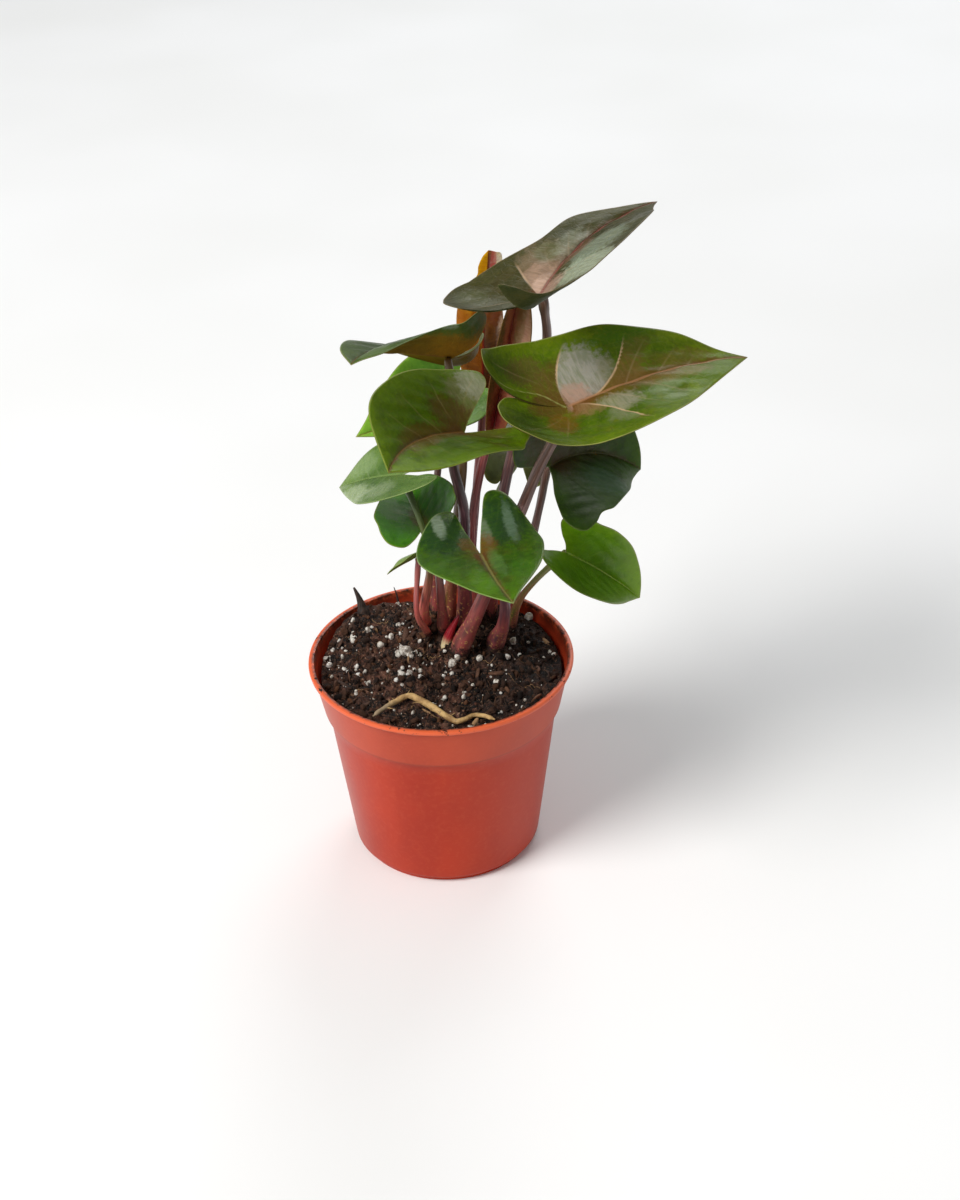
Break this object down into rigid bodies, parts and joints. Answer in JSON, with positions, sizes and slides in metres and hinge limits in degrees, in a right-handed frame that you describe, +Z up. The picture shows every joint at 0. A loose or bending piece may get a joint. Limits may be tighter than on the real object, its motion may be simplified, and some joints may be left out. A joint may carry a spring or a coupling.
{
  "type": "potted arrowhead plant",
  "caption": "Young arrowhead plant with arrow-shaped bronze-green leaves on slim stalks, in a small round terracotta-coloured nursery pot filled with peat soil.",
  "frame": {"origin": "on the surface that the pot stands on, under the pot's axis", "axes": "+Z up along the pot's axis; -Y is the front, from which the plant was seen; +X is to the right seen from the front"},
  "size_m": [0.0969, 0.0987, 0.1493],
  "materials": {
    "pot": "satin terracotta orange plastic",
    "soil": "dark loose peat with white and tan grains",
    "root": "dry tan root",
    "bud": "smooth red bud",
    "stalk": "smooth brown-purple stalk",
    "bronze_blade": "glossy olive blade, red veins",
    "green_blade": "glossy green blade",
    "pale_blade": "pale glossy green blade",
    "young_blade": "amber and red young blade"
  },
  "bodies": {
    "root": {"pot": "pot", "soil": "soil", "loose_root": "root", "red_bud": "bud", "top_leaf_blade": "bronze_blade", "top_leaf_stalk": "stalk", "right_leaf_blade": "bronze_blade", "right_leaf_stalk": "stalk", "front_left_leaf_blade": "green_blade", "front_left_leaf_stalk": "stalk", "upper_left_leaf_blade": "bronze_blade", "upper_left_leaf_stalk": "stalk", "right_dark_leaf_blade": "green_blade", "right_dark_leaf_stalk": "stalk", "back_left_leaf_blade": "green_blade", "back_left_leaf_stalk": "stalk", "pale_left_leaf_blade": "pale_blade", "pale_left_leaf_stalk": "stalk", "low_left_leaf_blade": "green_blade", "low_left_leaf_stalk": "stalk", "front_leaf_blade": "green_blade", "front_leaf_stalk": "stalk", "low_right_leaf_blade": "green_blade", "low_right_leaf_stalk": "stalk", "middle_leaf_blade": "bronze_blade", "middle_leaf_stalk": "stalk", "small_left_leaf_blade": "pale_blade", "small_left_leaf_stalk": "stalk", "orange_young_leaf_blade": "young_blade", "orange_young_leaf_stalk": "stalk", "rolled_young_leaf_blade": "young_blade", "rolled_young_leaf_stalk": "stalk"}
  },
  "joints": []
}
